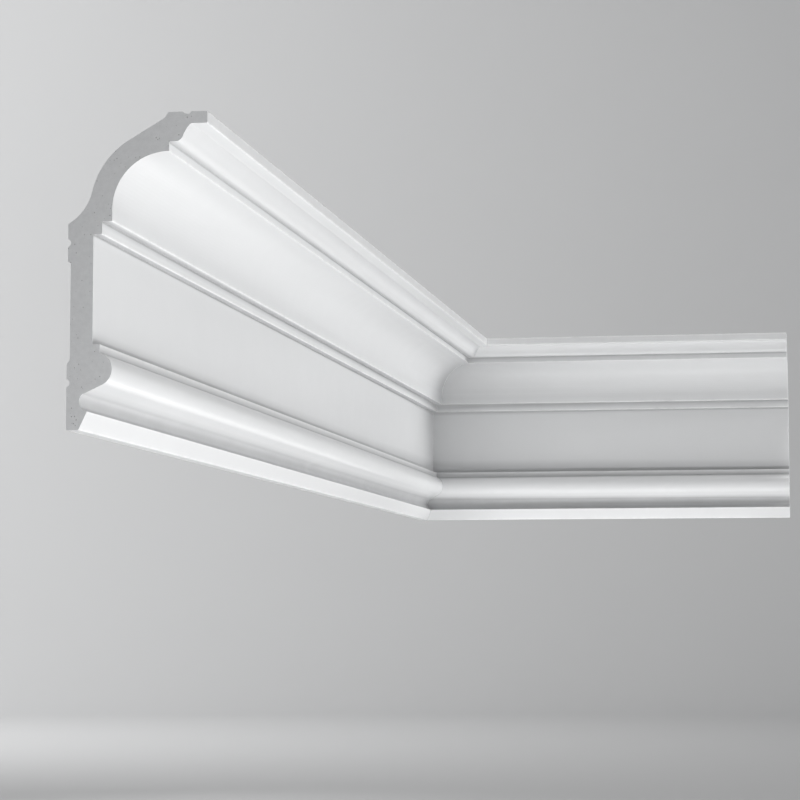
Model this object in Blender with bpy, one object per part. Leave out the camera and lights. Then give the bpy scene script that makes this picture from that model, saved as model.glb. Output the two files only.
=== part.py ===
"""Large cove cornice in two moulded lengths, mitred round the inside corner of a room.

The long length is fixed to the side wall and the short one returns along the end wall.
Both have one profile, a mitre of half a right angle where they meet, and a square sawn end.

Frame: X points away from the side wall, Y runs along it towards the end wall, Z is up.
The origin is on the side wall's face, half way along the long length, in the middle of the
clear band of its lower glue pad. Inside the profile, p is the projection from the wall and
z is the height, which is 0 at the ceiling and negative below it.
"""

import math

import bmesh
import bpy
from mathutils import Vector

# Lengths, measured along the wall from the inside corner, in metres
LONG_LENGTH = 1.551
RETURN_LENGTH = 0.481
MITRE_GAP = 0.0003

# Crown of the profile, from the ceiling down
FASCIA_HEIGHT = 0.0086
SOFFIT_WIDTH = 0.0120
OGEE_HOLLOW_RADIUS = 0.0229
OGEE_TOP_SLOPE = math.radians(43.0)
OGEE_BEND_SLOPE = math.radians(70.0)
OGEE_TOE_RADIUS = 0.0059
LEDGE_WIDTH = 0.0046
LIP_HEIGHT = 0.0069
LIP_FLAT = 0.0009
COVE_RADIUS = 0.0408
COVE_FOOT_HEIGHT = 0.0087
UPPER_STEP_WIDTH = 0.0074
LOWER_STEP_HEIGHT = 0.0092
LOWER_STEP_WIDTH = 0.0064

# Flat frieze under the steps
FRIEZE_THICKNESS = 0.0189
FRIEZE_HEIGHT = 0.0794

# Base of the profile, from the frieze down
BEAD_FILLET_WIDTH = 0.0055
BEAD_FILLET_HEIGHT = 0.0063
BEAD_RADIUS = 0.0123
BEAD_OVERHANG = 0.0091
BEAD_TO_ARRIS = 0.0177
SCOTIA_RADIUS = 0.00705
SCOTIA_WALL = 0.0095
SCOTIA_START = math.radians(131.3)
SCOTIA_END = math.radians(261.6)
FOOT_CHAMFER_HEIGHT = 0.0134
FOOT_THICKNESS = 0.0091

# Hollow behind the cove, which keeps one wall thickness to the cove
COVE_WALL = 0.0167
HOLLOW_ROOF_SLOPE = math.radians(30.2)
HOLLOW_ROOF_BEVEL_HEIGHT = 0.0041
HOLLOW_ROOF_BEVEL_WIDTH = 0.0028
HOLLOW_FOOT_RADIUS = 0.0355
HOLLOW_FOOT_DROP = 0.0013

# Glue faces on the ceiling and on the wall
UPPER_PAD_HEIGHT = 0.0275
LOWER_PAD_HEIGHT = 0.0476
PAD_RECESS = 0.0022
PAD_SHOULDER_HEIGHT = 0.0029
GLUE_GROOVE_WIDTH = 0.0058
GLUE_GROOVE_DEPTH = 0.00225
NOTCH_DEPTH = 0.0017
NOTCH_FLAT = 0.0022
NOTCH_INNER_SLOPE = 0.0037
NOTCH_OUTER_SLOPE = 0.0015

RIGHT_ANGLE = math.pi / 2.0
HALF_TURN = math.pi

# How finely the arcs are cut into facets
ARC_STEP = math.radians(4.0)
SHARP_ANGLE = math.radians(12.0)

# Places of the members, which follow from the sizes above
BEAD_FACE = FRIEZE_THICKNESS + BEAD_FILLET_WIDTH
LOWER_STEP_FACE = FRIEZE_THICKNESS + LOWER_STEP_WIDTH
COVE_FACE = LOWER_STEP_FACE + UPPER_STEP_WIDTH
COVE_CENTRE_P = COVE_FACE + COVE_RADIUS
LIP_FACE = COVE_CENTRE_P + LIP_FLAT
OGEE_TOE_P = LIP_FACE + LEDGE_WIDTH
OGEE_BEND_P = OGEE_TOE_P + OGEE_TOE_RADIUS * math.sin(OGEE_BEND_SLOPE)
OGEE_HOLLOW_P = OGEE_BEND_P + OGEE_HOLLOW_RADIUS * math.sin(OGEE_BEND_SLOPE)
OGEE_TOP_P = OGEE_HOLLOW_P - OGEE_HOLLOW_RADIUS * math.sin(OGEE_TOP_SLOPE)
PROJECTION = OGEE_TOP_P + SOFFIT_WIDTH

OGEE_HOLLOW_Z = -FASCIA_HEIGHT - OGEE_HOLLOW_RADIUS * math.cos(OGEE_TOP_SLOPE)
OGEE_BEND_Z = OGEE_HOLLOW_Z + OGEE_HOLLOW_RADIUS * math.cos(OGEE_BEND_SLOPE)
OGEE_TOE_Z = OGEE_BEND_Z + OGEE_TOE_RADIUS * math.cos(OGEE_BEND_SLOPE)
LEDGE_Z = OGEE_TOE_Z - OGEE_TOE_RADIUS
COVE_TOP = LEDGE_Z - LIP_HEIGHT
COVE_CENTRE_Z = COVE_TOP - COVE_RADIUS
UPPER_STEP_Z = COVE_CENTRE_Z - COVE_FOOT_HEIGHT
LOWER_STEP_Z = UPPER_STEP_Z - LOWER_STEP_HEIGHT
FRIEZE_FOOT_Z = LOWER_STEP_Z - FRIEZE_HEIGHT
BEAD_TOP = FRIEZE_FOOT_Z - BEAD_FILLET_HEIGHT

BEAD_CENTRE_P = BEAD_FACE + BEAD_OVERHANG - BEAD_RADIUS
BEAD_START = math.acos((BEAD_FACE - BEAD_CENTRE_P) / BEAD_RADIUS)
BEAD_CENTRE_Z = BEAD_TOP - BEAD_RADIUS * math.sin(BEAD_START)
ARRIS_Z = BEAD_CENTRE_Z - BEAD_RADIUS - BEAD_TO_ARRIS
SCOTIA_CENTRE_P = SCOTIA_WALL + SCOTIA_RADIUS
SCOTIA_CENTRE_Z = ARRIS_Z - SCOTIA_RADIUS * math.sin(SCOTIA_END)
FOOT_Z = ARRIS_Z - FOOT_CHAMFER_HEIGHT

HOLLOW_RADIUS = COVE_RADIUS + COVE_WALL
HOLLOW_FOOT_Z = UPPER_STEP_Z - HOLLOW_FOOT_DROP
UPPER_PAD_FOOT_Z = HOLLOW_FOOT_Z - UPPER_PAD_HEIGHT
LOWER_PAD_TOP_Z = FOOT_Z + LOWER_PAD_HEIGHT
GROOVE_BELOW_PAD_TOP = UPPER_PAD_HEIGHT / 2.0
GROOVE_HALF = GLUE_GROOVE_WIDTH / 2.0

# Origin, in the middle of the lower pad's band between its groove and its foot
PAD_BAND_HEIGHT = LOWER_PAD_HEIGHT - GROOVE_BELOW_PAD_TOP - GROOVE_HALF
CORNER_PLACE = Vector((0.0, LONG_LENGTH / 2.0, -FOOT_Z - PAD_BAND_HEIGHT / 2.0))

# Finishes: base colour, roughness and metallic
PRIMED_SKIN = ((0.86, 0.86, 0.85, 1.0), 0.45, 0.0)
SAWN_FOAM = ((0.40, 0.41, 0.42, 1.0), 0.85, 0.0)


def clear_scene():
    for item in list(bpy.data.objects):
        bpy.data.objects.remove(item, do_unlink=True)


def make_material(name, finish):
    base_color, roughness, metallic = finish
    material = bpy.data.materials.new(name)
    material.use_nodes = True
    shader = material.node_tree.nodes["Principled BSDF"]
    shader.inputs["Base Color"].default_value = base_color
    shader.inputs["Roughness"].default_value = roughness
    shader.inputs["Metallic"].default_value = metallic
    return material


def arc(centre_p, centre_z, radius, start, end):
    """Points on an arc from the start angle to the end angle, both ends included."""
    count = max(2, math.ceil(abs(end - start) / ARC_STEP))
    points = []
    for index in range(count + 1):
        angle = start + (end - start) * index / count
        points.append((centre_p + radius * math.cos(angle), centre_z + radius * math.sin(angle)))
    return points


def tangent_angle(centre, radius, point):
    """Angle on a circle where the line from an outside point touches it, past its bearing."""
    away_p = point[0] - centre[0]
    away_z = point[1] - centre[1]
    return math.atan2(away_z, away_p) + math.acos(radius / math.hypot(away_p, away_z))


def crown_outline():
    """Fascia, soffit, ogee, ledge, cove and steps, from the ceiling down to the frieze."""
    points = [(PROJECTION, 0.0), (PROJECTION, -FASCIA_HEIGHT)]
    points += arc(OGEE_HOLLOW_P, OGEE_HOLLOW_Z, OGEE_HOLLOW_RADIUS,
                  RIGHT_ANGLE + OGEE_TOP_SLOPE, RIGHT_ANGLE + OGEE_BEND_SLOPE)
    points += arc(OGEE_TOE_P, OGEE_TOE_Z, OGEE_TOE_RADIUS,
                  OGEE_BEND_SLOPE - RIGHT_ANGLE, -RIGHT_ANGLE)[1:]
    points += [(LIP_FACE, LEDGE_Z), (LIP_FACE, COVE_TOP)]
    points += arc(COVE_CENTRE_P, COVE_CENTRE_Z, COVE_RADIUS, RIGHT_ANGLE, HALF_TURN)
    points += [(COVE_FACE, UPPER_STEP_Z), (LOWER_STEP_FACE, UPPER_STEP_Z)]
    points += [(LOWER_STEP_FACE, LOWER_STEP_Z), (FRIEZE_THICKNESS, LOWER_STEP_Z)]
    return points


def base_outline():
    """Fillet, bead, sloping weathering, scotia and foot chamfer, from the frieze down."""
    points = [(FRIEZE_THICKNESS, FRIEZE_FOOT_Z), (BEAD_FACE, FRIEZE_FOOT_Z)]
    scotia = arc(SCOTIA_CENTRE_P, SCOTIA_CENTRE_Z, SCOTIA_RADIUS, SCOTIA_START, SCOTIA_END)
    bead_centre = (BEAD_CENTRE_P, BEAD_CENTRE_Z)
    bead_end = tangent_angle(bead_centre, BEAD_RADIUS, scotia[0])
    points += arc(BEAD_CENTRE_P, BEAD_CENTRE_Z, BEAD_RADIUS, BEAD_START, bead_end)
    points += scotia
    points += [(FOOT_THICKNESS, FOOT_Z), (0.0, FOOT_Z)]
    return points


def glue_groove(pad_top):
    """Round groove across a wall pad, from its lower edge to its upper one."""
    radius = (GROOVE_HALF ** 2 + GLUE_GROOVE_DEPTH ** 2) / (2.0 * GLUE_GROOVE_DEPTH)
    half_angle = math.atan2(GROOVE_HALF, radius - GLUE_GROOVE_DEPTH)
    centre_p = GLUE_GROOVE_DEPTH - radius
    return arc(centre_p, pad_top - GROOVE_BELOW_PAD_TOP, radius, -half_angle, half_angle)


def hollow_outline():
    """Back of the cove: foot arc, the arc that follows the cove, and the sloping roof."""
    reach = math.hypot(COVE_CENTRE_P, COVE_CENTRE_Z - HOLLOW_FOOT_Z)
    centres = HOLLOW_RADIUS + HOLLOW_FOOT_RADIUS
    bearing = math.atan2(COVE_CENTRE_Z - HOLLOW_FOOT_Z, COVE_CENTRE_P)
    squares = reach ** 2 + HOLLOW_FOOT_RADIUS ** 2 - centres ** 2
    opening = math.acos(squares / (2.0 * reach * HOLLOW_FOOT_RADIUS))
    foot_p = HOLLOW_FOOT_RADIUS * math.cos(bearing + opening)
    foot_z = HOLLOW_FOOT_Z + HOLLOW_FOOT_RADIUS * math.sin(bearing + opening)
    touch = math.atan2(COVE_CENTRE_Z - foot_z, COVE_CENTRE_P - foot_p)
    foot_start = math.atan2(HOLLOW_FOOT_Z - foot_z, -foot_p)
    points = arc(foot_p, foot_z, HOLLOW_FOOT_RADIUS, foot_start, touch)
    points += arc(COVE_CENTRE_P, COVE_CENTRE_Z, HOLLOW_RADIUS,
                  touch + HALF_TURN, RIGHT_ANGLE + HOLLOW_ROOF_SLOPE)[1:]
    rise = -HOLLOW_ROOF_BEVEL_HEIGHT - points[-1][1]
    roof_end = points[-1][0] + rise / math.tan(HOLLOW_ROOF_SLOPE)
    points += [(roof_end, -HOLLOW_ROOF_BEVEL_HEIGHT), (roof_end + HOLLOW_ROOF_BEVEL_WIDTH, 0.0)]
    return points


def back_outline():
    """Wall pads, recess, hollow and ceiling land, from the foot up to the ceiling."""
    points = glue_groove(LOWER_PAD_TOP_Z)
    points += [(0.0, LOWER_PAD_TOP_Z), (PAD_RECESS, LOWER_PAD_TOP_Z + PAD_SHOULDER_HEIGHT)]
    points += [(PAD_RECESS, UPPER_PAD_FOOT_Z), (0.0, UPPER_PAD_FOOT_Z)]
    points += glue_groove(HOLLOW_FOOT_Z)
    points += hollow_outline()
    notch_middle = (points[-1][0] + PROJECTION) / 2.0
    notch_inner = notch_middle - NOTCH_FLAT / 2.0
    notch_outer = notch_middle + NOTCH_FLAT / 2.0
    points += [(notch_inner - NOTCH_INNER_SLOPE, 0.0), (notch_inner, -NOTCH_DEPTH)]
    points += [(notch_outer, -NOTCH_DEPTH), (notch_outer + NOTCH_OUTER_SLOPE, 0.0)]
    return points


def profile_outline():
    return crown_outline() + base_outline() + back_outline()


def along_side_wall(p, run, z):
    return Vector((p, -run, z))


def along_end_wall(p, run, z):
    return Vector((run, -p, z))


def moulded_length(name, length, place, skin, foam, corner):
    """One length: the profile drawn at its sawn end, pulled to the corner and mitred there."""
    bm = bmesh.new()
    outline = [bm.verts.new(place(p, length, z)) for p, z in profile_outline()]
    sawn_end = bm.faces.new(outline)
    pulled = bmesh.ops.extrude_face_region(bm, geom=[sawn_end], use_keep_orig=True)
    moved = [item for item in pulled["geom"] if isinstance(item, bmesh.types.BMVert)]
    to_corner = place(0.0, 0.0, 0.0) - place(0.0, length, 0.0)
    bmesh.ops.translate(bm, verts=moved, vec=to_corner)

    away = (place(0.0, 1.0, 0.0) - place(1.0, 0.0, 0.0)).normalized()
    everything = bm.verts[:] + bm.edges[:] + bm.faces[:]
    bmesh.ops.bisect_plane(bm, geom=everything, dist=1e-7, plane_co=away * MITRE_GAP / 2.0,
                           plane_no=-away, clear_outer=True)
    open_edges = [edge for edge in bm.edges if edge.is_boundary]
    cuts = bmesh.ops.contextual_create(bm, geom=open_edges)["faces"] + [sawn_end]
    for face in bm.faces:
        face.material_index = 1 if face in cuts else 0
    bmesh.ops.recalc_face_normals(bm, faces=bm.faces[:])

    mesh = bpy.data.meshes.new(name)
    bm.to_mesh(mesh)
    bm.free()
    mesh.materials.append(skin)
    mesh.materials.append(foam)
    mesh.shade_smooth()
    mesh.set_sharp_from_angle(angle=SHARP_ANGLE)
    piece = bpy.data.objects.new(name, mesh)
    piece.parent = corner
    bpy.context.scene.collection.objects.link(piece)
    return piece


def build():
    clear_scene()
    skin = make_material("primed_skin", PRIMED_SKIN)
    foam = make_material("sawn_foam", SAWN_FOAM)
    corner = bpy.data.objects.new("inside_corner", None)
    corner.location = CORNER_PLACE
    bpy.context.scene.collection.objects.link(corner)
    moulded_length("long_length", LONG_LENGTH, along_side_wall, skin, foam, corner)
    moulded_length("return_length", RETURN_LENGTH, along_end_wall, skin, foam, corner)


build()
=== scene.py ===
"""Corner cornice: the finish of two mitred lengths of primed cove moulding, and their studio.

The two lengths of the frame are built again with rounded arrises and creases, which carry the
marks for their lighter arrises, which stand for rubbed wear and a painted highlight, and for the
painted shade in their creases, with faint dust. Inside the profile, p is the projection from the
wall and z is the height, which is 0 at the ceiling and negative below it. A run is a distance from
the corner.
"""

import math
from collections import namedtuple

import bmesh
import bpy
import numpy as np
from bpy.props import FloatProperty, FloatVectorProperty, PointerProperty
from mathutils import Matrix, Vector


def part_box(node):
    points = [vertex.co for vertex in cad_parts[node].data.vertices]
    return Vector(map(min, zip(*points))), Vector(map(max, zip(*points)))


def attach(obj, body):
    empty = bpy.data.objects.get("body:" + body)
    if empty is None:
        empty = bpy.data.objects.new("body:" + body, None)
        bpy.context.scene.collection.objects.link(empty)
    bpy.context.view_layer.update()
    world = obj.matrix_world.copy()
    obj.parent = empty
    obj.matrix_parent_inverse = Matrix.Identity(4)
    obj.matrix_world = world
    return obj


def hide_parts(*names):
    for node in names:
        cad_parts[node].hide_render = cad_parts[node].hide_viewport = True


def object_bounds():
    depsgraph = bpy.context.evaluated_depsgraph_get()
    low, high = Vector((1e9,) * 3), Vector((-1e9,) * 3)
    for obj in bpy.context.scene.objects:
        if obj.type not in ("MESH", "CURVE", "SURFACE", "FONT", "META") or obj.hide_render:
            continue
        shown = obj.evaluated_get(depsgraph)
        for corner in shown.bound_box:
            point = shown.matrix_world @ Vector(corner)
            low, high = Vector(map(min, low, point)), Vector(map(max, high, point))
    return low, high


bl_info = {
    "name": "Corner Cornice",
    "version": (1, 0, 0),
    "blender": (4, 5, 0),
    "location": "3D View > Sidebar > Cornice",
    "description": "Finishes two mitred lengths of cove cornice and lights them in a pale studio",
    "category": "Object",
}

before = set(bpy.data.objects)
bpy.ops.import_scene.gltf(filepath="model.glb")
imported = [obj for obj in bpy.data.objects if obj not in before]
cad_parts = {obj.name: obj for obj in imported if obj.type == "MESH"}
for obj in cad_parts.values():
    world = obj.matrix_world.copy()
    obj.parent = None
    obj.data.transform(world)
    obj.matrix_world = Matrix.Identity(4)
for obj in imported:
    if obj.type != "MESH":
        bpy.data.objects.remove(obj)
CAD_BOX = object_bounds()

BODY = "root"
LONG_NODE = "long_length"
RETURN_NODE = "return_length"

# Faces of the room that the frame's lengths touch
WALL_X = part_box(LONG_NODE)[0].x
CEILING_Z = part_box(LONG_NODE)[1].z
CORNER_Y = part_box(RETURN_NODE)[1].y
LONG_RUN = CORNER_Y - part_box(LONG_NODE)[0].y
RETURN_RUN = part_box(RETURN_NODE)[1].x - WALL_X
MITRE_HALF_GAP = CORNER_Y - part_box(LONG_NODE)[1].y

# Points nearer than this are one point
WELD = 1e-5
# The outline is rounded from the first turn on, and shaded sharp from the second
CORNER_TURN = math.radians(12.0)
SHARP_TURN = math.radians(30.0)
# Rounding: turn for each step of the arc, and the share of a face that it may take
FILLET_STEP = math.radians(15.0)
FILLET_ROOM = 0.4
# Where a straight face is divided: near its ends, and then at most this far apart
GUARD_DISTANCES = (0.0004, 0.0015, 0.0045)
GUARD_ROOM = 0.45
SHORTEST_FACE = 0.0016
LONGEST_FACE = 0.012
# Where the run is divided: a narrow band at each end, and stations crowded to the mitre
END_BAND = 0.0012
STATIONS = 12
STATION_CROWDING = 1.6

# How the lighter arris colour (rubbed wear and painted highlight) falls off beside it
ARRIS_FADE = 0.0009
# Shelter of a point by its own profile, which sets its painted shade: a fan of rays, and the reach
# that still shelters
SHELTER_RAYS = 23
SHELTER_FAN = math.radians(84.0)
SHELTER_FADE = 0.016
SHELTER_BLUR = 0.0012
# Lines with a smaller cross product count as parallel
PARALLEL = 1e-12
# Rise of a ray that counts as coming from above, and the weight of being closed both ways
RISING_RAY = 0.5
ENCLOSED = 1.5
# Painted shade by the inside corner: at the mitre itself, on faces set back, and its fall-off
MITRE_SHELTER = 0.2
CORNER_SHELTER = 0.17
CORNER_FADE = 0.15
SET_BACK = 0.02
FRONT_DIRECTIONS = 46
# Share of the painted shade that is lost with each metre from the corner
SHELTER_THINNING = 0.18
# Share of the painted shade that is lost at the ceiling, and how far down it is back
TOP_THINNING = 0.9
TOP_BAND = 0.03

# Material places on each length's mesh
SHOW_FACE, WALL_FACE, SAWN_FACE = range(3)

# Sockets of the node that mixes two colours
MIX_FACTOR, MIX_FIRST, MIX_SECOND, MIX_RESULT = 0, 6, 7, 2

ProfilePoint = namedtuple("ProfilePoint", "p z arris shelter set_back")


class CorniceSizes(bpy.types.PropertyGroup):
    """Small shapes that the frame's solids leave out."""

    arris_radius: FloatProperty(
        name="Arris radius", description="Rounding of the moulded outer edges",
        default=0.0006, min=0.0, soft_max=0.002, precision=5, unit="LENGTH")
    crease_radius: FloatProperty(
        name="Crease radius", description="Rounding of the moulded inner edges",
        default=0.0003, min=0.0, soft_max=0.002, precision=5, unit="LENGTH")


class CorniceFinish(bpy.types.PropertyGroup):
    """Colours and surface values of the cornice."""

    primer_color: FloatVectorProperty(
        name="Primer", description="White factory primer on the show side",
        default=(0.764, 0.77, 0.775), size=3, min=0.0, max=1.0, subtype="COLOR")
    # Lighter primer at the arrises: rubbed wear and painted highlight
    worn_and_highlight_color: FloatVectorProperty(
        name="Rubbed edge and highlight", description="Lighter primer at the arrises for rubbed wear and painted highlight",
        default=(0.925, 0.93, 0.932), size=3, min=0.0, max=1.0, subtype="COLOR")
    # Dark tone of the painted crease shade and of the faint dust over the faces
    shade_and_dust_color: FloatVectorProperty(
        name="Shade and dust", description="Painted shade in the creases and faint dust over the faces",
        default=(0.297, 0.3, 0.306), size=3, min=0.0, max=1.0, subtype="COLOR")
    back_color: FloatVectorProperty(
        name="Back", description="Plain moulded back that faces the wall",
        default=(0.74, 0.735, 0.71), size=3, min=0.0, max=1.0, subtype="COLOR")
    core_color: FloatVectorProperty(
        name="Sawn core", description="Grey foam on the sawn ends",
        default=(0.74, 0.748, 0.758), size=3, min=0.0, max=1.0, subtype="COLOR")
    pore_color: FloatVectorProperty(
        name="Pore", description="Open foam cells on the sawn ends",
        default=(0.25, 0.25, 0.26), size=3, min=0.0, max=1.0, subtype="COLOR")
    primer_roughness: FloatProperty(
        name="Primer roughness", description="Roughness of the satin primer",
        default=0.34, min=0.0, max=1.0, subtype="FACTOR")


class CorniceStudio(bpy.types.PropertyGroup):
    """Camera, lights and floor."""

    camera_place: FloatVectorProperty(
        name="Camera", description="Camera's place from the inside corner at the ceiling",
        default=(0.5432, -3.2745, -0.3678), size=3, subtype="TRANSLATION", unit="LENGTH")
    camera_turn: FloatProperty(
        name="Turn", description="Camera's turn to the left of the end wall's normal",
        default=math.radians(9.904), subtype="ANGLE")
    camera_tilt: FloatProperty(
        name="Tilt", description="Camera's tilt above the horizon",
        default=math.radians(5.153), subtype="ANGLE")
    camera_lens: FloatProperty(
        name="Lens", description="Focal length on a 36 mm sensor, in millimetres",
        default=113.18, min=10.0)
    floor_drop: FloatProperty(
        name="Floor drop", description="Floor's distance below the cornice's foot",
        default=0.45, min=0.01, unit="LENGTH")
    floor_color: FloatVectorProperty(
        name="Floor", description="Pale matt floor and the sweep round it",
        default=(0.54, 0.543, 0.547), size=3, min=0.0, max=1.0, subtype="COLOR")
    sky_strength: FloatProperty(
        name="Sky", description="Strength of the even light from all round",
        default=0.17, min=0.0)


def side_wall_place(p, run, z):
    """World place of a profile point on the long length."""
    return Vector((WALL_X + p, CORNER_Y - run, CEILING_Z + z))


def end_wall_place(p, run, z):
    """World place of a profile point on the return."""
    return Vector((WALL_X + run, CORNER_Y - p, CEILING_Z + z))


def cad_outline():
    """Outline of the long length's sawn end, from the fascia's top down the show side."""
    bm = bmesh.new()
    bm.from_mesh(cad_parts[LONG_NODE].data)
    bmesh.ops.remove_doubles(bm, verts=bm.verts[:], dist=WELD)
    level = CORNER_Y - LONG_RUN
    cap = {face for face in bm.faces if all(abs(v.co.y - level) < WELD for v in face.verts)}
    following = {}
    for face in cap:
        for loop in face.loops:
            if any(other not in cap for other in loop.edge.link_faces):
                following[loop.vert] = loop.link_loop_next.vert
    if len(following) < 3:
        raise RuntimeError("the long length's sawn end has no outline")
    vert = max(following, key=lambda item: item.co.x + item.co.z)
    points = []
    for _ in following:
        points.append(Vector((vert.co.x - WALL_X, vert.co.z - CEILING_Z)))
        vert = following[vert]
    bm.free()
    if points[1].y > points[-1].y:
        points = points[:1] + points[:0:-1]
    return points


def turn_at(before, here, after):
    """Signed turn of the outline at a point; an outer edge turns to the right."""
    arriving = here - before
    leaving = after - here
    cross = arriving.x * leaving.y - arriving.y * leaving.x
    return math.atan2(cross, arriving.dot(leaving))


def fillet(before, here, after, turn, radius):
    """Points of the arc that rounds one corner of the outline."""
    arriving = (here - before).normalized()
    leaving = (after - here).normalized()
    half_tangent = math.tan(abs(turn) / 2.0)
    room = FILLET_ROOM * min((here - before).length, (after - here).length)
    reach = min(radius * half_tangent, room)
    start = here - arriving * reach
    side = math.copysign(1.0, turn)
    inward = Vector((-arriving.y, arriving.x)) * side
    centre = start + inward * (reach / half_tangent)
    arm = start - centre
    steps = max(2, math.ceil(abs(turn) / FILLET_STEP))
    points = []
    for step in range(steps + 1):
        angle = turn * step / steps
        cosine, sine = math.cos(angle), math.sin(angle)
        points.append(centre + Vector((arm.x * cosine - arm.y * sine,
                                       arm.x * sine + arm.y * cosine)))
    return points


def face_breaks(length):
    """Distances along one straight face where it is divided."""
    near = [guard for guard in GUARD_DISTANCES if guard < length * GUARD_ROOM]
    breaks = near + [length - guard for guard in reversed(near)]
    first = near[-1] if near else 0.0
    middle = length - 2.0 * first
    count = math.ceil(middle / LONGEST_FACE)
    inner = [first + middle * index / count for index in range(1, count)]
    return sorted(breaks + inner)


def rounded_outline(sizes):
    """The outline with rounded edges, each point's lighter arris mark (rubbed wear and painted
    highlight) and its shelter, which sets its painted shade.
    """
    outline = cad_outline()
    corners = []
    count = len(outline)
    for index, here in enumerate(outline):
        before, after = outline[index - 1], outline[(index + 1) % count]
        turn = turn_at(before, here, after)
        radius = sizes.arris_radius if turn < 0.0 else sizes.crease_radius
        points = [here] if abs(turn) < CORNER_TURN else fillet(before, here, after, turn, radius)
        # Sharp outer edges get the lighter arris colour: rubbed wear and painted highlight
        corners.append((points, 1.0 if turn < -SHARP_TURN else 0.0))
    places, worn_and_highlit = [], []
    for index, (points, wear_and_highlight) in enumerate(corners):
        places += points
        worn_and_highlit += [wear_and_highlight] * len(points)
        face = corners[(index + 1) % count][0][0] - points[-1]
        if face.length > SHORTEST_FACE:
            for distance in face_breaks(face.length):
                places.append(points[-1] + face.normalized() * distance)
                worn_and_highlit.append(0.0)
    arris = faded(places, worn_and_highlit)
    line = np.array([point[:] for point in places])
    return [ProfilePoint(*values) for values in
            zip(line[:, 0].tolist(), line[:, 1].tolist(), arris, shelter(line), set_back(line))]


def faded(places, values):
    """The values spread along the outline, falling off with the distance."""
    values = list(values)
    count = len(places)
    for step in (1, -1):
        for turn in range(2 * count):
            here = (turn * step) % count
            last = (here - step) % count
            gap = (places[here] - places[last]).length
            values[here] = max(values[here], values[last] * math.exp(-gap / ARRIS_FADE))
    return values


def along_step(points):
    """The step from the point before to the point after, at each point of the outline."""
    return np.roll(points, -1, axis=0) - np.roll(points, 1, axis=0)


def shelter(points):
    """How much the profile itself closes each point off near by, from 0 to 1.

    An overhang alone leaves a face nearly without painted shade, as the shade follows light from
    below. It counts where the profile also closes the face off from below, as in a hollow, and on a
    ledge.
    """
    ahead = np.roll(points, -1, axis=0)
    edges = ahead - points
    along = along_step(points)
    along /= np.linalg.norm(along, axis=1)[:, None]
    outward = np.stack([-along[:, 1], along[:, 0]], axis=1)
    starts = points + outward * WELD
    apart = points[None, :, :] - starts[:, None, :]
    steep = 1.0 - np.maximum(outward[:, 1], 0.0)
    above = np.zeros(len(points))
    below = np.zeros(len(points))
    weights = 0.0
    for angle in np.linspace(-SHELTER_FAN, SHELTER_FAN, SHELTER_RAYS):
        ray = outward * math.cos(angle) + along * math.sin(angle)
        across = ray[:, None, 0] * edges[None, :, 1] - ray[:, None, 1] * edges[None, :, 0]
        across = np.where(np.abs(across) < PARALLEL, PARALLEL, across)
        reach = (apart[:, :, 0] * edges[None, :, 1] - apart[:, :, 1] * edges[None, :, 0]) / across
        share = (apart[:, :, 0] * ray[:, None, 1] - apart[:, :, 1] * ray[:, None, 0]) / across
        meets = (reach > WELD) & (share >= 0.0) & (share <= 1.0)
        nearest = np.where(meets, reach, 1.0).min(axis=1)
        hidden = math.cos(angle) * np.exp(-nearest / SHELTER_FADE)
        rising = np.clip(ray[:, 1] * steep / RISING_RAY, 0.0, 1.0)
        above += hidden * rising
        below += hidden * (1.0 - rising)
        weights += math.cos(angle)
    closed = (below + ENCLOSED * np.sqrt(above * below)) / weights
    lengths = np.linalg.norm(along_step(points), axis=1) / 2.0
    places = np.cumsum(lengths)
    shares = np.exp(-((places[:, None] - places[None, :]) / SHELTER_BLUR) ** 2) * lengths
    return (shares @ closed / shares.sum(axis=1)).tolist()


def foot_end(heights):
    """Place on the outline of the foot's last point, where the show side ends."""
    return int(np.flatnonzero(heights < heights.min() + WELD)[-1])


def set_back(points):
    """How far the show side lies behind its foremost members, as a share up to 1."""
    angles = np.linspace(-math.pi / 2.0, 0.0, FRONT_DIRECTIONS)
    reach = points @ np.stack([np.cos(angles), np.sin(angles)])
    depth = (reach.max(axis=0) - reach).min(axis=1)
    depth[foot_end(points[:, 1]):] = 0.0
    return np.clip(depth / SET_BACK, 0.0, 1.0).tolist()


def station_shares(run):
    """Shares of the run where the length is divided, closer together towards the mitre."""
    band = END_BAND / run
    inner = [band + (1.0 - 2.0 * band) * (index / STATIONS) ** STATION_CROWDING
             for index in range(STATIONS + 1)]
    return [0.0, *inner, 1.0]


def shelter_along(point, past_mitre, distance):
    """A point's painted shade at its place along the length, with the painted shade of the inside
    corner.
    """
    own = point.shelter * (1.0 - SHELTER_THINNING * distance)
    corner = CORNER_SHELTER * point.set_back * math.exp(-past_mitre / CORNER_FADE)
    kept = 1.0 - TOP_THINNING * max(0.0, 1.0 + point.z / TOP_BAND)
    return kept * (1.0 - (1.0 - own) * (1.0 - corner))


def skin_between(bm, first, second):
    """Faces that join two rings of points."""
    return [bm.faces.new((first[index - 1], first[index], second[index], second[index - 1]))
            for index in [*range(1, len(first)), 0]]


def new_object(name, bm):
    """An object in the scene from a mesh that is being built."""
    mesh = bpy.data.meshes.new(name)
    bm.to_mesh(mesh)
    bm.free()
    mesh.shade_smooth()
    made = bpy.data.objects.new(name, mesh)
    bpy.context.scene.collection.objects.link(made)
    return made


def finished_piece(name, bm):
    """A closed piece of the cornice with its faces turned outward and its edges sharp."""
    bmesh.ops.recalc_face_normals(bm, faces=bm.faces[:])
    piece = new_object(name, bm)
    piece.data.set_sharp_from_angle(angle=SHARP_TURN)
    return piece


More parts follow.
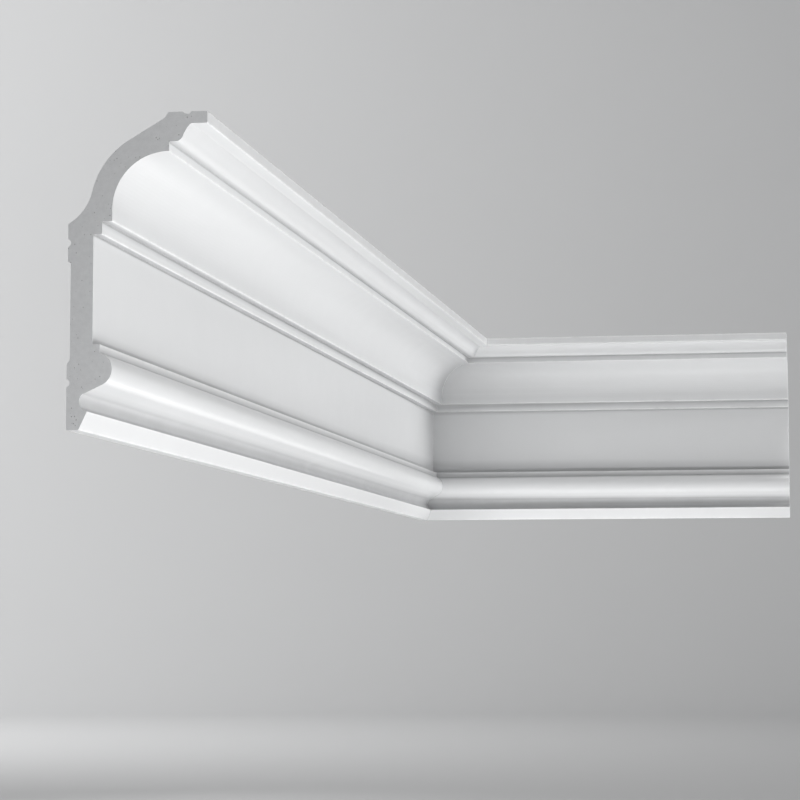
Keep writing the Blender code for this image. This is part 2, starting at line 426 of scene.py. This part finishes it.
def moulding(name, place, run, sizes):
    """One closed moulded length from its mitre to its sawn end."""
    outline = rounded_outline(sizes)
    last_show = foot_end(np.array([point.z for point in outline]))
    bm = bmesh.new()
    arris_layer = bm.verts.layers.float.new("arris")
    shelter_layer = bm.verts.layers.float.new("shelter")
    rings = []
    for share in station_shares(run):
        ring = []
        for point in outline:
            mitre = point.p + MITRE_HALF_GAP
            distance = mitre + (run - mitre) * share
            sheltered = shelter_along(point, distance - mitre, distance)
            vert = bm.verts.new(place(point.p, distance, point.z))
            # The sawn end's edge takes the full lighter arris colour: rubbed wear and painted
            # highlight
            vert[arris_layer] = 1.0 if share == 1.0 else point.arris
            # The mitre's ring takes at least the mitre's painted shade
            vert[shelter_layer] = max(sheltered, MITRE_SHELTER if share == 0.0 else 0.0)
            ring.append(vert)
        rings.append(ring)
    for first, second in zip(rings, rings[1:]):
        for index, face in enumerate(skin_between(bm, first, second)):
            face.material_index = SHOW_FACE if index < last_show else WALL_FACE
    for ring in (rings[0], rings[-1]):
        bm.faces.new(ring).material_index = SAWN_FACE
    return finished_piece(name, bm)


def joint_filler(name, sizes):
    """Thin slab that fills the mitre joint flush with both lengths."""
    outline = rounded_outline(sizes)
    bm = bmesh.new()
    rings = [[bm.verts.new(place(point.p, point.p + MITRE_HALF_GAP, point.z))
              for point in outline] for place in (side_wall_place, end_wall_place)]
    skin_between(bm, *rings)
    for ring in rings:
        bm.faces.new(ring)
    return finished_piece(name, bm)


def node_group(name, inputs, outputs):
    """A new shader group with its sockets, and its input and output nodes."""
    tree = bpy.data.node_groups.new(name, "ShaderNodeTree")
    for socket, kind, value in inputs:
        made = tree.interface.new_socket(name=socket, in_out="INPUT", socket_type=kind)
        if value is not None:
            made.default_value = value
    for socket, kind in outputs:
        tree.interface.new_socket(name=socket, in_out="OUTPUT", socket_type=kind)
    return tree, tree.nodes.new("NodeGroupInput"), tree.nodes.new("NodeGroupOutput")


def add_node(tree, kind, inputs=None, **settings):
    """A node with its settings; an input value is a plain value or a socket to link from."""
    made = tree.nodes.new(kind)
    for key, value in settings.items():
        setattr(made, key, value)
    for key, value in (inputs or {}).items():
        if isinstance(value, bpy.types.NodeSocket):
            tree.links.new(value, made.inputs[key])
        else:
            made.inputs[key].default_value = value
    return made


def maths(tree, operation, first, second):
    """One sum or product of two values."""
    return add_node(tree, "ShaderNodeMath", {0: first, 1: second}, operation=operation).outputs[0]


def noise(tree, vector, scale, detail=2.0, roughness=0.5):
    """Cloudy noise from 0 to 1, with its scale in features per metre."""
    made = add_node(tree, "ShaderNodeTexNoise",
                    {"Vector": vector, "Scale": scale, "Detail": detail, "Roughness": roughness})
    return made.outputs["Fac"]


def ramp(tree, value, low, high, to_low=0.0, to_high=1.0):
    """Maps a value between two levels, held at both ends."""
    made = add_node(tree, "ShaderNodeMapRange",
                    {"Value": value, "From Min": low, "From Max": high,
                     "To Min": to_low, "To Max": to_high}, clamp=True)
    return made.outputs["Result"]


def blend_color(tree, factor, first, second):
    """Mixes two colours by a factor."""
    made = add_node(tree, "ShaderNodeMix",
                    {MIX_FACTOR: factor, MIX_FIRST: first, MIX_SECOND: second}, data_type="RGBA")
    return made.outputs[MIX_RESULT]


# Open pores: their scale as a share of the cells', and their depth
PORE_TO_CELL_SCALE = 0.28
PORE_DEPTH = 0.0004
# Saw strokes: their slant, and their pattern's scale along each axis
SAW_SLANT = math.radians(18.0)
SAW_STRETCH = (60.0, 60.0, 1100.0)


def relief_group(name):
    """Skin relief in metres: broad mould waves, soft orange peel and a fine stipple."""
    tree, source, target = node_group(
        name,
        [("Vector", "NodeSocketVector", None), ("Wave depth", "NodeSocketFloat", 0.0001),
         ("Peel depth", "NodeSocketFloat", 0.00002), ("Stipple depth", "NodeSocketFloat", 0.00001)],
        [("Height", "NodeSocketFloat")])
    vector = source.outputs["Vector"]
    wave = maths(tree, "MULTIPLY", noise(tree, vector, scale=7.0, detail=1.0),
                 source.outputs["Wave depth"])
    peel = maths(tree, "MULTIPLY", noise(tree, vector, scale=260.0), source.outputs["Peel depth"])
    stipple = maths(tree, "MULTIPLY", noise(tree, vector, scale=1500.0, detail=3.0, roughness=0.6),
                    source.outputs["Stipple depth"])
    height = maths(tree, "ADD", maths(tree, "ADD", wave, peel), stipple)
    tree.links.new(height, target.inputs["Height"])
    return tree


def rub_and_highlight_group(name):
    """Mask of the lighter arrises, for rubbed wear and painted highlight, broken up along their
    length.
    """
    tree, source, target = node_group(
        name,
        [("Vector", "NodeSocketVector", None), ("Arris", "NodeSocketFloat", 0.0),
         ("Amount", "NodeSocketFloat", 0.5)],
        [("Mask", "NodeSocketFloat")])
    streaks = noise(tree, source.outputs["Vector"], scale=60.0, detail=4.0, roughness=0.65)
    breakup = ramp(tree, streaks, 0.25, 0.55)
    worn_and_highlit = maths(tree, "MULTIPLY", breakup, source.outputs["Arris"])
    mask = maths(tree, "MULTIPLY", worn_and_highlit, source.outputs["Amount"])
    tree.links.new(mask, target.inputs["Mask"])
    return tree


def shade_and_dust_group(name):
    """Mask of the painted shade in the creases and of faint dust over the open faces."""
    tree, source, target = node_group(
        name,
        [("Vector", "NodeSocketVector", None), ("Shelter", "NodeSocketFloat", 0.0),
         ("In creases", "NodeSocketFloat", 0.8), ("Over faces", "NodeSocketFloat", 0.03)],
        [("Mask", "NodeSocketFloat")])
    vector = source.outputs["Vector"]
    patches = noise(tree, vector, scale=24.0, detail=4.0, roughness=0.6)
    patchy = ramp(tree, patches, 0.3, 0.7, to_low=0.88)
    crease_shade = ramp(tree, source.outputs["Shelter"], 0.05, 0.22)
    crease = maths(tree, "MULTIPLY", crease_shade, source.outputs["In creases"])
    clouds = noise(tree, vector, scale=5.0, detail=3.0, roughness=0.55)
    cloud = ramp(tree, clouds, 0.35, 0.7)
    faces = maths(tree, "MULTIPLY", cloud, source.outputs["Over faces"])
    mask = maths(tree, "ADD", maths(tree, "MULTIPLY", crease, patchy), faces)
    tree.links.new(mask, target.inputs["Mask"])
    return tree


def cells_group(name):
    """Foam cells: their relief in metres, the mask of the open pores and a soft mottling."""
    tree, source, target = node_group(
        name,
        [("Vector", "NodeSocketVector", None), ("Cell scale", "NodeSocketFloat", 1600.0),
         ("Depth", "NodeSocketFloat", 0.00006), ("Pores", "NodeSocketFloat", 0.5)],
        [("Height", "NodeSocketFloat"), ("Pore mask", "NodeSocketFloat"),
         ("Mottle", "NodeSocketFloat")])
    vector = source.outputs["Vector"]
    cells = add_node(tree, "ShaderNodeTexVoronoi",
                     {"Vector": vector, "Scale": source.outputs["Cell scale"]})
    walls = ramp(tree, cells.outputs["Distance"], 0.1, 0.55)
    fine = maths(tree, "MULTIPLY", walls, source.outputs["Depth"])
    large_scale = maths(tree, "MULTIPLY", source.outputs["Cell scale"], PORE_TO_CELL_SCALE)
    large = add_node(tree, "ShaderNodeTexVoronoi", {"Vector": vector, "Scale": large_scale})
    pit = ramp(tree, large.outputs["Distance"], 0.12, 0.2, to_low=1.0, to_high=0.0)
    sparse = ramp(tree, noise(tree, vector, scale=180.0), 0.5, 0.62)
    pore = maths(tree, "MULTIPLY", maths(tree, "MULTIPLY", pit, sparse), source.outputs["Pores"])
    sunk = maths(tree, "MULTIPLY", pore, -PORE_DEPTH)
    tree.links.new(maths(tree, "ADD", fine, sunk), target.inputs["Height"])
    tree.links.new(pore, target.inputs["Pore mask"])
    mottle = noise(tree, vector, scale=240.0, detail=4.0, roughness=0.6)
    tree.links.new(mottle, target.inputs["Mottle"])
    return tree


def saw_group(name):
    """Relief of the saw's strokes in metres, steep and slightly uneven."""
    tree, source, target = node_group(
        name,
        [("Vector", "NodeSocketVector", None), ("Depth", "NodeSocketFloat", 0.00004)],
        [("Height", "NodeSocketFloat")])
    turned = add_node(tree, "ShaderNodeMapping",
                      {"Vector": source.outputs["Vector"],
                       "Rotation": (0.0, SAW_SLANT, 0.0), "Scale": SAW_STRETCH})
    strokes = noise(tree, turned.outputs["Vector"], scale=1.0, detail=3.0, roughness=0.7)
    height = maths(tree, "MULTIPLY", strokes, source.outputs["Depth"])
    tree.links.new(height, target.inputs["Height"])
    return tree


SHARED_GROUPS = {"Skin relief": relief_group, "Rubbed arris and highlight": rub_and_highlight_group,
                 "Crease shade and dust": shade_and_dust_group, "Foam cells": cells_group,
                 "Saw strokes": saw_group}


def place_group(tree, name, inputs):
    """Puts a shared group into a material, and builds the group when it isn't there yet."""
    group = bpy.data.node_groups.get(name) or SHARED_GROUPS[name](name)
    return add_node(tree, "ShaderNodeGroup", inputs, node_tree=group)


def opaque(color):
    """A colour with full cover."""
    return (*color, 1.0)


def new_material(name):
    """An empty material with its shader and the object's own coordinates."""
    material = bpy.data.materials.new(name)
    material.use_nodes = True
    tree = material.node_tree
    shader = tree.nodes["Principled BSDF"]
    vector = tree.nodes.new("ShaderNodeTexCoord").outputs["Object"]
    return material, tree, shader, vector


def attribute(tree, name):
    """A value that the mesh carries at its points."""
    return add_node(tree, "ShaderNodeAttribute", attribute_name=name).outputs["Fac"]


def set_bump(tree, shader, height):
    """Feeds a relief in metres to the shader."""
    bump = add_node(tree, "ShaderNodeBump", {"Strength": 1.0, "Distance": 1.0, "Height": height})
    tree.links.new(bump.outputs["Normal"], shader.inputs["Normal"])


# Roughness: how far it varies over the primer, and what the full mask of painted crease shade and
# dust adds
ROUGHNESS_SPREAD = 0.04
SHADE_AND_DUST_ROUGHENING = 0.4
# How far the sawn core and the floor vary in lightness
CORE_MOTTLE = 0.04
FLOOR_MOTTLE = 0.02


def tinted(color, factor):
    """The colour lightened or darkened by a factor."""
    return opaque([min(1.0, channel * factor) for channel in color])


def primed_skin(name, finish):
    """White satin primer: faint orange peel, lighter arrises for rubbed wear and painted highlight,
    and painted shade in the creases with faint dust over the faces.
    """
    material, tree, shader, vector = new_material(name)
    relief = place_group(tree, "Skin relief",
                         {"Vector": vector, "Wave depth": 0.00012, "Peel depth": 0.000012,
                          "Stipple depth": 0.000006})
    # Lighter arrises: rubbed wear and painted highlight
    wear_and_highlight = place_group(tree, "Rubbed arris and highlight",
                      {"Vector": vector, "Arris": attribute(tree, "arris"), "Amount": 0.85})
    # Darker creases: painted shade, with faint dust over the open faces
    shade_and_dust = place_group(tree, "Crease shade and dust",
                       {"Vector": vector, "Shelter": attribute(tree, "shelter"),
                        "In creases": 0.62, "Over faces": 0.02})
    color = blend_color(tree, wear_and_highlight.outputs["Mask"], opaque(finish.primer_color),
                        opaque(finish.worn_and_highlight_color))
    color = blend_color(tree, shade_and_dust.outputs["Mask"], color, opaque(finish.shade_and_dust_color))
    tree.links.new(color, shader.inputs["Base Color"])
    mottle = noise(tree, vector, scale=35.0, detail=4.0, roughness=0.6)
    mottled = ramp(tree, mottle, 0.3, 0.7, to_low=finish.primer_roughness - ROUGHNESS_SPREAD,
                   to_high=finish.primer_roughness + ROUGHNESS_SPREAD)
    matt = maths(tree, "MULTIPLY", shade_and_dust.outputs["Mask"], SHADE_AND_DUST_ROUGHENING)
    dulled = maths(tree, "ADD", mottled, matt)
    tree.links.new(dulled, shader.inputs["Roughness"])
    set_bump(tree, shader, relief.outputs["Height"])
    return material


def moulded_back(name, finish):
    """Plain moulded back: duller, creamier and coarser than the show side."""
    material, tree, shader, vector = new_material(name)
    relief = place_group(tree, "Skin relief",
                         {"Vector": vector, "Wave depth": 0.0004, "Peel depth": 0.00006,
                          "Stipple depth": 0.00003})
    cells = place_group(tree, "Foam cells",
                        {"Vector": vector, "Cell scale": 700.0, "Depth": 0.00001, "Pores": 0.35})
    # Darker creases on the back: painted shade, with faint dust over the open faces
    shade_and_dust = place_group(tree, "Crease shade and dust",
                       {"Vector": vector, "Shelter": attribute(tree, "shelter"),
                        "In creases": 0.6, "Over faces": 0.12})
    color = blend_color(tree, shade_and_dust.outputs["Mask"], opaque(finish.back_color),
                        opaque(finish.shade_and_dust_color))
    color = blend_color(tree, cells.outputs["Pore mask"], color, opaque(finish.pore_color))
    tree.links.new(color, shader.inputs["Base Color"])
    roughness = ramp(tree, cells.outputs["Mottle"], 0.3, 0.7, to_low=0.55, to_high=0.72)
    tree.links.new(roughness, shader.inputs["Roughness"])
    set_bump(tree, shader, maths(tree, "ADD", relief.outputs["Height"], cells.outputs["Height"]))
    return material


def sawn_core(name, finish):
    """Grey fine-celled foam with saw strokes and a few open pores."""
    material, tree, shader, vector = new_material(name)
    cells = place_group(tree, "Foam cells",
                        {"Vector": vector, "Cell scale": 1500.0, "Depth": 0.00006,
                         "Pores": 0.75})
    saw = place_group(tree, "Saw strokes",
                      {"Vector": vector, "Depth": 0.00006})
    mottle = ramp(tree, cells.outputs["Mottle"], 0.3, 0.7)
    color = blend_color(tree, mottle, tinted(finish.core_color, 1.0 - CORE_MOTTLE),
                        tinted(finish.core_color, 1.0 + CORE_MOTTLE))
    color = blend_color(tree, cells.outputs["Pore mask"], color, opaque(finish.pore_color))
    tree.links.new(color, shader.inputs["Base Color"])
    roughness = ramp(tree, cells.outputs["Mottle"], 0.3, 0.7, to_low=0.78, to_high=0.9)
    tree.links.new(roughness, shader.inputs["Roughness"])
    shader.inputs["Specular IOR Level"].default_value = 0.3
    set_bump(tree, shader, maths(tree, "ADD", cells.outputs["Height"], saw.outputs["Height"]))
    return material


def joint_filler_paste(name, finish):
    """Matt white filler, smoothed by hand."""
    material, tree, shader, vector = new_material(name)
    relief = place_group(tree, "Skin relief",
                         {"Vector": vector, "Wave depth": 0.0001, "Peel depth": 0.00004,
                          "Stipple depth": 0.00002})
    cloud = ramp(tree, noise(tree, vector, scale=80.0, detail=3.0), 0.3, 0.7)
    color = blend_color(tree, cloud, opaque(finish.primer_color), opaque(finish.worn_and_highlight_color))
    tree.links.new(color, shader.inputs["Base Color"])
    shader.inputs["Roughness"].default_value = 0.65
    set_bump(tree, shader, relief.outputs["Height"])
    return material


def finishes(finish):
    """The materials of a length in the order of its material places."""
    makers = {"primed skin": primed_skin, "moulded back": moulded_back, "sawn core": sawn_core}
    return [bpy.data.materials.get(name) or make(name, finish) for name, make in makers.items()]


def dress_length(context, name, node, place, run):
    """Builds a length, gives it its finishes and puts it in place of its node."""
    piece = moulding(name, place, run, context.scene.cornice_sizes)
    for material in finishes(context.scene.cornice_finish):
        piece.data.materials.append(material)
    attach(piece, BODY)
    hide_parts(node)


class CORNICE_OT_long_length(bpy.types.Operator):
    """Build the long length along the side wall"""

    bl_idname = "cornice.long_length"
    bl_label = "Long Length"

    def execute(self, context):
        dress_length(context, "long_moulding", LONG_NODE, side_wall_place, LONG_RUN)
        return {"FINISHED"}


class CORNICE_OT_return_length(bpy.types.Operator):
    """Build the short return along the end wall"""

    bl_idname = "cornice.return_length"
    bl_label = "Return Length"

    def execute(self, context):
        dress_length(context, "return_moulding", RETURN_NODE, end_wall_place, RETURN_RUN)
        return {"FINISHED"}


class CORNICE_OT_joint_filler(bpy.types.Operator):
    """Fill the mitre joint between the two lengths"""

    bl_idname = "cornice.joint_filler"
    bl_label = "Joint Filler"

    def execute(self, context):
        piece = joint_filler("joint_filler", context.scene.cornice_sizes)
        finish = context.scene.cornice_finish
        piece.data.materials.append(joint_filler_paste("joint filler", finish))
        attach(piece, BODY)
        return {"FINISHED"}


# Flat floor, the sweep round it and the wall's top above the floor
FLOOR_RADIUS = 6.5
SWEEP_RADIUS = 2.2
SWEEP_HEIGHT = 3.6
SWEEP_STEPS = 16
ROUND_STEPS = 96
FLOOR_WELD = 1e-4


def studio_floor(studio):
    """A round floor whose rim sweeps up into a low wall, turned about the upright axis."""
    level = CAD_BOX[0].z - studio.floor_drop
    centre = (CAD_BOX[0] + CAD_BOX[1]) / 2.0
    bm = bmesh.new()
    line = [bm.verts.new((centre.x, centre.y, level))]
    for step in range(SWEEP_STEPS + 1):
        angle = math.pi / 2.0 * step / SWEEP_STEPS
        reach = FLOOR_RADIUS + SWEEP_RADIUS * math.sin(angle)
        rise = SWEEP_RADIUS * (1.0 - math.cos(angle))
        line.append(bm.verts.new((centre.x + reach, centre.y, level + rise)))
    line.append(bm.verts.new((line[-1].co.x, centre.y, level + SWEEP_HEIGHT)))
    edges = [bm.edges.new(pair) for pair in zip(line, line[1:])]
    bmesh.ops.spin(bm, geom=line + edges, cent=(centre.x, centre.y, 0.0), axis=(0.0, 0.0, 1.0),
                   angle=math.tau, steps=ROUND_STEPS)
    bmesh.ops.remove_doubles(bm, verts=bm.verts[:], dist=FLOOR_WELD)
    bmesh.ops.recalc_face_normals(bm, faces=bm.faces[:])
    middle = min(bm.faces, key=lambda face: (face.calc_center_median() - centre).length)
    if middle.normal.z < 0.0:
        bmesh.ops.reverse_faces(bm, faces=bm.faces[:])
    floor = new_object("studio_floor", bm)
    floor.data.materials.append(floor_paint(studio))


def floor_paint(studio):
    """Matt pale paint with a faint cloudiness, which is clear when seen from below."""
    material, tree, shader, vector = new_material("studio paint")
    color = blend_color(tree, noise(tree, vector, scale=1.5, detail=3.0),
                        opaque(studio.floor_color),
                        tinted(studio.floor_color, 1.0 + FLOOR_MOTTLE))
    tree.links.new(color, shader.inputs["Base Color"])
    shader.inputs["Roughness"].default_value = 0.9
    underside = add_node(tree, "ShaderNodeNewGeometry").outputs["Backfacing"]
    tree.links.new(maths(tree, "SUBTRACT", 1.0, underside), shader.inputs["Alpha"])
    return material


ROOM_CORNER = Vector((WALL_X, CORNER_Y, CEILING_Z))
# Camera: sensor in millimetres, and the nearest and farthest that it sees in metres
SENSOR_WIDTH = 36.0
NEAREST_SEEN = 0.05
FARTHEST_SEEN = 60.0

# A soft light: place and target from the corner at the ceiling and size, all in metres,
# power in watts and spread in degrees
SoftLight = namedtuple("SoftLight", "name place target size power spread", defaults=(180.0,))

LIGHTS = (
    SoftLight("backdrop_panel", (-3.4, 1.4, 3.0), (-3.5, 9.0, 0.8), (2.0, 2.0), 360.0),
    SoftLight("right_panel", (2.6, -0.2, 0.6), (0.1, -0.4, -0.11), (0.8, 0.8), 28.0),
    SoftLight("near_panel", (0.6, -2.2, -0.2), (0.1, -1.5, -0.11), (0.4, 0.4), 1.3),
    SoftLight("overhead_panel", (0.5, -0.9, 2.4), (0.3, -0.1, 0.0), (0.6, 0.6), 28.0),
    SoftLight("floor_panel", (1.2, -1.0, -0.66), (1.2, -1.0, 1.0), (2.4, 2.4), 6.4),
    SoftLight("near_floor_panel", (0.5, -2.0, -0.64), (0.5, -2.0, 1.0), (0.6, 0.6), 4.2),
    SoftLight("long_floor_panel", (0.45, -1.1, -0.64), (0.45, -1.1, 1.0), (0.5, 1.2), 1.3),
    SoftLight("long_strip", (0.1, -0.78, -0.348), (0.1, -0.78, 1.0), (0.06, 1.4), 0.3),
    SoftLight("return_strip", (0.28, -0.1, -0.348), (0.28, -0.1, 1.0), (0.45, 0.06), 0.21),
    SoftLight("far_side_panel", (2.5, -4.0, 3.5), (6.0, -9.0, 0.8), (3.0, 3.0), 100.0),
    SoftLight("rear_panel", (-1.2, 1.4, 0.3), (0.1, -0.4, -0.1), (1.2, 1.2), 12.0, 80.0),
)


def studio_light(light):
    """Hangs one soft light, which the camera itself doesn't see."""
    data = bpy.data.lights.new(light.name, "AREA")
    data.shape = "RECTANGLE"
    data.size, data.size_y = light.size
    data.energy = light.power
    data.spread = math.radians(light.spread)
    lamp = bpy.data.objects.new(light.name, data)
    place = Vector(light.place)
    lamp.location = ROOM_CORNER + place
    lamp.rotation_mode = "QUATERNION"
    lamp.rotation_quaternion = (Vector(light.target) - place).to_track_quat("-Z", "Y")
    lamp.visible_camera = False
    bpy.context.scene.collection.objects.link(lamp)


def studio_camera(studio):
    """Sets up the camera at the photograph's place and angle."""
    data = bpy.data.cameras.new("photo_camera")
    data.sensor_width = SENSOR_WIDTH
    data.lens = studio.camera_lens
    data.clip_start, data.clip_end = NEAREST_SEEN, FARTHEST_SEEN
    camera = bpy.data.objects.new("photo_camera", data)
    camera.location = ROOM_CORNER + Vector(studio.camera_place)
    level = math.cos(studio.camera_tilt)
    forward = Vector((-math.sin(studio.camera_turn) * level,
                      math.cos(studio.camera_turn) * level, math.sin(studio.camera_tilt)))
    camera.rotation_mode = "QUATERNION"
    camera.rotation_quaternion = forward.to_track_quat("-Z", "Y")
    bpy.context.scene.collection.objects.link(camera)
    bpy.context.scene.camera = camera


def studio_sky(strength):
    """Even white light from all round."""
    world = bpy.data.worlds.new("studio_sky")
    world.use_nodes = True
    background = world.node_tree.nodes["Background"]
    background.inputs["Color"].default_value = (1.0, 1.0, 1.0, 1.0)
    background.inputs["Strength"].default_value = strength
    bpy.context.scene.world = world


class CORNICE_OT_studio(bpy.types.Operator):
    """Build the pale floor, the soft lights and the camera"""

    bl_idname = "cornice.studio"
    bl_label = "Studio"

    def execute(self, context):
        studio = context.scene.cornice_studio
        studio_floor(studio)
        studio_sky(studio.sky_strength)
        for light in LIGHTS:
            studio_light(light)
        studio_camera(studio)
        context.scene.view_settings.view_transform = "Standard"
        return {"FINISHED"}


class CORNICE_PT_panel(bpy.types.Panel):
    """Lists the cornice's steps and values"""

    bl_idname = "CORNICE_PT_panel"
    bl_label = "Corner Cornice"
    bl_space_type = "VIEW_3D"
    bl_region_type = "UI"
    bl_category = "Cornice"

    def draw(self, context):
        layout = self.layout
        for operator in OPERATORS:
            layout.operator(operator.bl_idname)
        for group in (context.scene.cornice_sizes, context.scene.cornice_finish,
                      context.scene.cornice_studio):
            column = layout.column(align=True)
            for key in group.__annotations__:
                column.prop(group, key)


OPERATORS = (CORNICE_OT_long_length, CORNICE_OT_return_length, CORNICE_OT_joint_filler,
             CORNICE_OT_studio)
CLASSES = (CorniceSizes, CorniceFinish, CorniceStudio, *OPERATORS, CORNICE_PT_panel)


def register():
    for item in CLASSES:
        bpy.utils.register_class(item)
    bpy.types.Scene.cornice_sizes = PointerProperty(type=CorniceSizes)
    bpy.types.Scene.cornice_finish = PointerProperty(type=CorniceFinish)
    bpy.types.Scene.cornice_studio = PointerProperty(type=CorniceStudio)


def unregister():
    del bpy.types.Scene.cornice_studio
    del bpy.types.Scene.cornice_finish
    del bpy.types.Scene.cornice_sizes
    for item in reversed(CLASSES):
        bpy.utils.unregister_class(item)


def main():
    register()
    bpy.ops.cornice.studio()
    bpy.ops.cornice.long_length()
    bpy.ops.cornice.return_length()
    bpy.ops.cornice.joint_filler()


if __name__ == "__main__":
    main()
